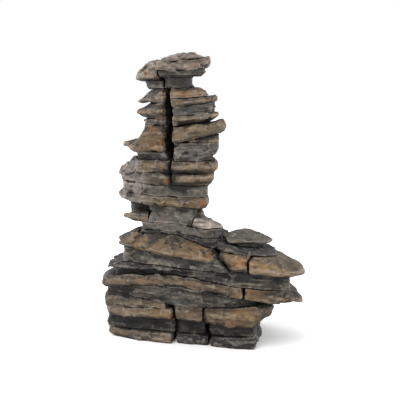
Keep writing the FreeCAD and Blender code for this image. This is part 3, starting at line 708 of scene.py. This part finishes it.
class Shader:
    """A painted-resin material as it is built, node by node."""

    def __init__(self, name):
        self.material = bpy.data.materials.new(name)
        self.material.use_nodes = True
        self.tree = self.material.node_tree
        self.surface = self.tree.nodes["Principled BSDF"]
        self.place = self.tree.nodes.new("ShaderNodeTexCoord").outputs["Object"]

    def feed(self, socket, value):
        """Sets a socket to a value, or links it to another node's output."""
        if isinstance(value, (int, float, tuple)):
            socket.default_value = value
        else:
            self.tree.links.new(value, socket)

    def noise(self, scale, detail, stretch=(1, 1, 1)):
        """Noise in the object's own space."""
        mapping = self.tree.nodes.new("ShaderNodeMapping")
        mapping.inputs["Scale"].default_value = stretch
        self.feed(mapping.inputs["Vector"], self.place)
        made = self.tree.nodes.new("ShaderNodeTexNoise")
        for socket, value in (("Scale", scale), ("Detail", detail), ("Roughness", NOISE_ROUGHNESS),
                              ("Vector", mapping.outputs["Vector"])):
            self.feed(made.inputs[socket], value)
        return made.outputs["Fac"]

    def combine(self, kind, a, b):
        """Two numbers joined by a sum or a product."""
        made = self.tree.nodes.new("ShaderNodeMath")
        made.operation = kind
        self.feed(made.inputs[0], a)
        self.feed(made.inputs[1], b)
        return made.outputs[0]

    def ramp(self, value, start, end, at_start=0.0, at_end=1.0):
        """The value, spread from one range to another and held at its ends."""
        made = self.tree.nodes.new("ShaderNodeMapRange")
        for socket, given in (("Value", value), ("From Min", start), ("From Max", end),
                              ("To Min", at_start), ("To Max", at_end)):
            self.feed(made.inputs[socket], given)
        return made.outputs["Result"]

    def blend(self, kind, factor, a, b):
        """Two colours mixed or multiplied."""
        made = self.tree.nodes.new("ShaderNodeMix")
        made.data_type, made.blend_type = "RGBA", kind
        factor_socket, first, second = made.inputs["Factor"], made.inputs[6], made.inputs[7]
        for socket, value in ((factor_socket, factor), (first, a), (second, b)):
            self.feed(socket, value)
        return made.outputs[2]

    def grey(self, value):
        """The same number as red, green and blue."""
        made = self.tree.nodes.new("ShaderNodeCombineColor")
        for channel in ("Red", "Green", "Blue"):
            self.feed(made.inputs[channel], value)
        return made.outputs["Color"]

    def attribute(self, name, output):
        """A value that rock() stored at the vertices."""
        made = self.tree.nodes.new("ShaderNodeAttribute")
        made.attribute_name = name
        return made.outputs[output]

    def bump(self, height):
        """A normal tilted by fine relief."""
        made = self.tree.nodes.new("ShaderNodeBump")
        for socket, value in (("Strength", BUMP_STRENGTH), ("Distance", BUMP_DEPTH), ("Height", height)):
            self.feed(made.inputs[socket], value)
        return made.outputs["Normal"]


def resin(name):
    """Painted resin: the vertices' paint, broken up by noise, darker in patches of small hollows, with worn
    edges.
    """
    s = Shader(name)
    patches, streaks, speckle = s.noise(PATCHES, 5), s.noise(STREAKS, 4, (1, 1, 4.5)), s.noise(SPECKLE, 3)
    edge, wash_and_shade_paint = s.attribute("edge", "Fac"), s.attribute("wash_and_shade_paint", "Fac")

    shade = s.combine("MULTIPLY", s.ramp(patches, *MIDDLE, 0.8, 1.2), s.ramp(streaks, *MIDDLE, 0.76, 1.24))
    shade = s.combine("MULTIPLY", shade, s.ramp(speckle, *MIDDLE, 0.86, 1.14))
    colour = s.blend("MULTIPLY", 1.0, s.attribute("paint", "Color"), s.grey(shade))

    # darker in small hollows, in patches
    pits = s.combine("MULTIPLY", s.ramp(patches, 0.40, 0.30), s.ramp(edge, 0.62, 0.45))
    colour = s.blend("MIX", s.combine("MULTIPLY", pits, PIT_DARK_STRENGTH), colour, PIT_DARK)

    worn = s.combine("MULTIPLY", s.ramp(edge, 0.6, 0.85), s.ramp(speckle, 0.42, 0.6))
    worn = s.combine("MULTIPLY", worn, s.ramp(wash_and_shade_paint, 0.5, 0.1))
    colour = s.blend("MIX", s.combine("MULTIPLY", worn, WORN_STRENGTH), colour, WORN)

    height = s.combine("ADD", s.combine("MULTIPLY", speckle, 0.5), streaks)
    for socket, value in (("Roughness", ROUGHNESS), ("Specular IOR Level", GLOSS), ("Base Color", colour),
                          ("Normal", s.bump(height))):
        s.feed(s.surface.inputs[socket], value)
    return s.material


# ---------------------------------------------------------------- build

slots = {s["node"]: s["material_slot"] for s in frame["record"]["subparts"]}
materials = {slot: resin(slot) for slot in sorted(set(slots.values()))}
fill = Fill(frame["nodes"])
total = 0
for name, node in sorted(frame["nodes"].items()):
    piece = rock(node, fill)
    piece.data.materials.clear()
    piece.data.materials.append(materials[slots[name]])
    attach(piece, "root")
    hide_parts(name)
    total += len(piece.data.polygons)
print("triangles", total)

# ---------------------------------------------------------------- floor, light, camera

FLOOR_REACH, FLOOR_GREY, FLOOR_ROUGHNESS = 3, 0.9, 0.9
PILE_MIDDLE = (0, 0, 0.1)
SOFTBOXES = (  # name, place, size and power
    ("fill", (0.9, -0.6, 0.5), 0.8, 2),
    ("left_rim", (-0.7, 0.35, 0.35), 0.5, 3.5),
    ("right_rim", (0.6, 0.6, 0.45), 0.5, 3),
)
SKY_PLACE, SKY_STRENGTH, SKY_WIDTH = (-0.4, -0.6, 1.2), 1.6, math.radians(50)
ROOM_LIGHT = 1.0
AZIMUTH, ELEVATION, DISTANCE = math.radians(14), math.radians(9), 0.65
AIM = Vector((-0.0018, -0.0026, 0.1034))
LENS, CLIP_START = 77.3, 0.01


def placed(name, data, place, at):
    """A light or camera, put at a place and aimed at another."""
    thing = bpy.data.objects.new(name, data)
    bpy.context.scene.collection.objects.link(thing)
    thing.location = place
    thing.rotation_euler = (Vector(at) - thing.location).to_track_quat("-Z", "Y").to_euler()
    return thing


corners = [(FLOOR_REACH * x, FLOOR_REACH * y, 0) for x, y in ((-1, -1), (1, -1), (1, 1), (-1, 1))]
floor_mesh = bpy.data.meshes.new("floor")
floor_mesh.from_pydata(corners, [], [(0, 1, 2, 3)])
floor = bpy.data.objects.new("floor", floor_mesh)
bpy.context.scene.collection.objects.link(floor)
floor_paint = bpy.data.materials.new("floor")
floor_paint.use_nodes = True
floor_shader = floor_paint.node_tree.nodes["Principled BSDF"]
floor_shader.inputs["Base Color"].default_value = (FLOOR_GREY, FLOOR_GREY, FLOOR_GREY, 1)
floor_shader.inputs["Roughness"].default_value = FLOOR_ROUGHNESS
floor_mesh.materials.append(floor_paint)

world = bpy.data.worlds.new("studio")
bpy.context.scene.world = world
world.use_nodes = True
world.node_tree.nodes["Background"].inputs["Color"].default_value = (1, 1, 1, 1)
world.node_tree.nodes["Background"].inputs["Strength"].default_value = ROOM_LIGHT

for name, place, size, power in SOFTBOXES:
    light = bpy.data.lights.new(name, "AREA")
    light.size = size
    light.energy = power
    placed(name, light, place, PILE_MIDDLE)

sky = bpy.data.lights.new("sky", "SUN")
sky.energy = SKY_STRENGTH
sky.angle = SKY_WIDTH
placed("sky", sky, SKY_PLACE, (0, 0, 0))

direction = Vector((math.sin(AZIMUTH) * math.cos(ELEVATION), -math.cos(AZIMUTH) * math.cos(ELEVATION),
                    math.sin(ELEVATION)))
camera = placed("camera", bpy.data.cameras.new("camera"), AIM + DISTANCE * direction, AIM)
camera.data.lens = LENS
camera.data.clip_start = CLIP_START
bpy.context.scene.camera = camera
bpy.context.scene.view_settings.view_transform = "Standard"
